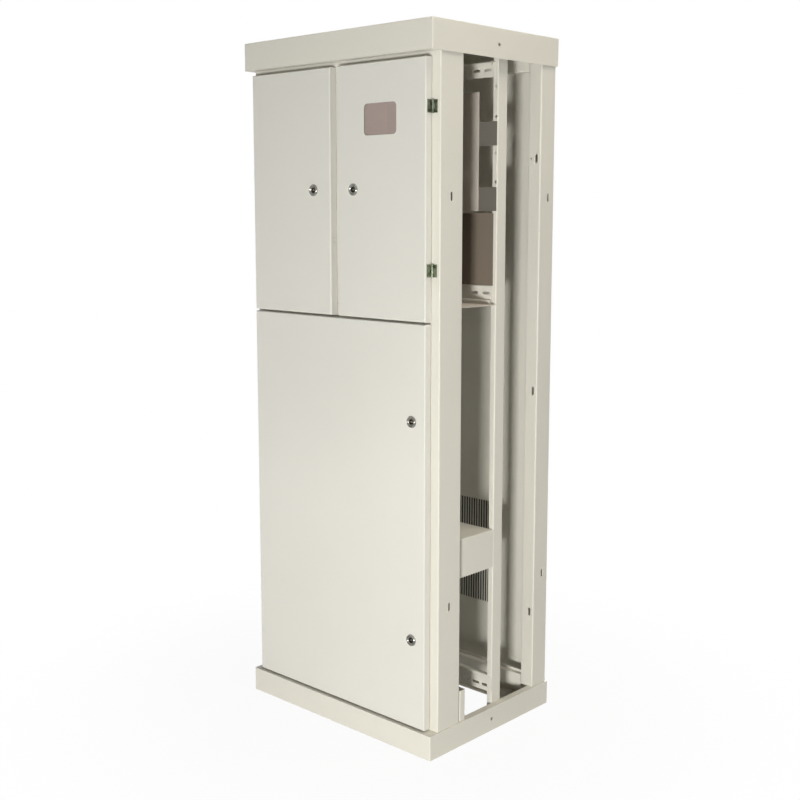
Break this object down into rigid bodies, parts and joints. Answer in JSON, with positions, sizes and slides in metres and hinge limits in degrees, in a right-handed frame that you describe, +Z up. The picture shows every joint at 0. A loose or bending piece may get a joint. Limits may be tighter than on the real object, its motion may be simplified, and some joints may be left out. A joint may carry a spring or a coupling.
{
  "type": "distribution board enclosure",
  "caption": "Floor-standing open-sided steel cabinet with a roof, a plinth, two upper doors with a small window, a tall lower door, quarter-turn locks and a slotted inner frame.",
  "frame": {"origin": "middle of the plinth's underside, on the floor", "axes": "+Z up along the posts, -Y out of the doors, +X to the right seen from the front"},
  "size_m": [0.632, 0.466, 1.7],
  "materials": {
    "frame_paint": "fine-textured powder coat",
    "door_paint": "fine-textured powder coat",
    "inner_paint": "fine-textured powder coat",
    "zinc_plate": "zinc plated",
    "bright_steel": "ground",
    "lock_chrome": "bright chrome",
    "plug_metal": "dark nickel",
    "seal_rubber": "foamed strip",
    "screen_mesh": "blackened woven wire",
    "clear_pane": "clear sheet"
  },
  "bodies": {
    "cabinet": {"roof_cap": "frame_paint", "plinth": "frame_paint", "left_front_post": "frame_paint", "right_front_post": "frame_paint", "left_rear_post": "frame_paint", "right_rear_post": "frame_paint", "left_upright": "frame_paint", "right_upright": "frame_paint", "front_lintel": "frame_paint", "front_mid_rail": "frame_paint", "front_sill": "frame_paint", "mullion": "frame_paint", "rear_bottom_rail": "frame_paint", "rear_top_rail": "frame_paint", "rear_panel": "frame_paint", "vent_screen": "screen_mesh", "rear_panel_screws": "zinc_plate", "post_foot_brackets": "frame_paint", "compartment_shelf": "inner_paint", "compartment_divider": "inner_paint", "upper_mounting_plate": "inner_paint", "plate_straps": "inner_paint", "lower_mounting_plate": "inner_paint", "equipment_tray": "frame_paint", "top_crossbar": "frame_paint", "mid_crossbar": "frame_paint", "bottom_crossbar": "frame_paint", "hinge_frame_leaves": "zinc_plate", "hinge_pins": "bright_steel"},
    "top_left_door": {"top_left_door": "door_paint", "top_left_door_seal": "seal_rubber", "top_left_hinge_leaves": "zinc_plate", "top_left_lock_housing": "lock_chrome", "top_left_lock_nut": "zinc_plate"},
    "top_right_door": {"top_right_door": "door_paint", "top_right_door_seal": "seal_rubber", "top_right_hinge_leaves": "zinc_plate", "top_right_lock_housing": "lock_chrome", "top_right_lock_nut": "zinc_plate", "window_pane": "clear_pane", "window_seal": "seal_rubber"},
    "bottom_door": {"bottom_door": "door_paint", "bottom_door_seal": "seal_rubber", "bottom_hinge_leaves": "zinc_plate", "bottom_lock_housings": "lock_chrome", "bottom_lock_nuts": "zinc_plate"},
    "top_left_lock": {"top_left_lock_plug": "plug_metal", "top_left_lock_cam": "zinc_plate", "top_left_cam_screw": "zinc_plate"},
    "top_right_lock": {"top_right_lock_plug": "plug_metal", "top_right_lock_cam": "zinc_plate", "top_right_cam_screw": "zinc_plate"},
    "bottom_upper_lock": {"bottom_upper_lock_plug": "plug_metal", "bottom_upper_lock_cam": "zinc_plate", "bottom_upper_cam_screw": "zinc_plate"},
    "bottom_lower_lock": {"bottom_lower_lock_plug": "plug_metal", "bottom_lower_lock_cam": "zinc_plate", "bottom_lower_cam_screw": "zinc_plate"}
  },
  "joints": [
    {"name": "top_left_door_hinge", "type": "hinge", "parent": "cabinet", "child": "top_left_door", "pos_m": [-0.3005, -0.2049, 1.32675], "axis": [0, 0, -1], "range_deg": [0, 105]},
    {"name": "top_right_door_hinge", "type": "hinge", "parent": "cabinet", "child": "top_right_door", "pos_m": [0.2925, -0.2049, 1.32675], "axis": [0, 0, 1], "range_deg": [0, 105]},
    {"name": "bottom_door_hinge", "type": "hinge", "parent": "cabinet", "child": "bottom_door", "pos_m": [-0.3005, -0.2049, 0.54575], "axis": [0, 0, -1], "range_deg": [0, 105]},
    {"name": "top_left_lock_turn", "type": "hinge", "parent": "top_left_door", "child": "top_left_lock", "pos_m": [-0.075, -0.2245, 1.333], "axis": [0, -1, 0], "range_deg": [0, 90]},
    {"name": "top_right_lock_turn", "type": "hinge", "parent": "top_right_door", "child": "top_right_lock", "pos_m": [0.0615, -0.2245, 1.333], "axis": [0, 1, 0], "range_deg": [0, 90]},
    {"name": "bottom_upper_lock_turn", "type": "hinge", "parent": "bottom_door", "child": "bottom_upper_lock", "pos_m": [0.248, -0.2245, 0.802], "axis": [0, -1, 0], "range_deg": [0, 90]},
    {"name": "bottom_lower_lock_turn", "type": "hinge", "parent": "bottom_door", "child": "bottom_lower_lock", "pos_m": [0.248, -0.2245, 0.278], "axis": [0, -1, 0], "range_deg": [0, 90]}
  ]
}
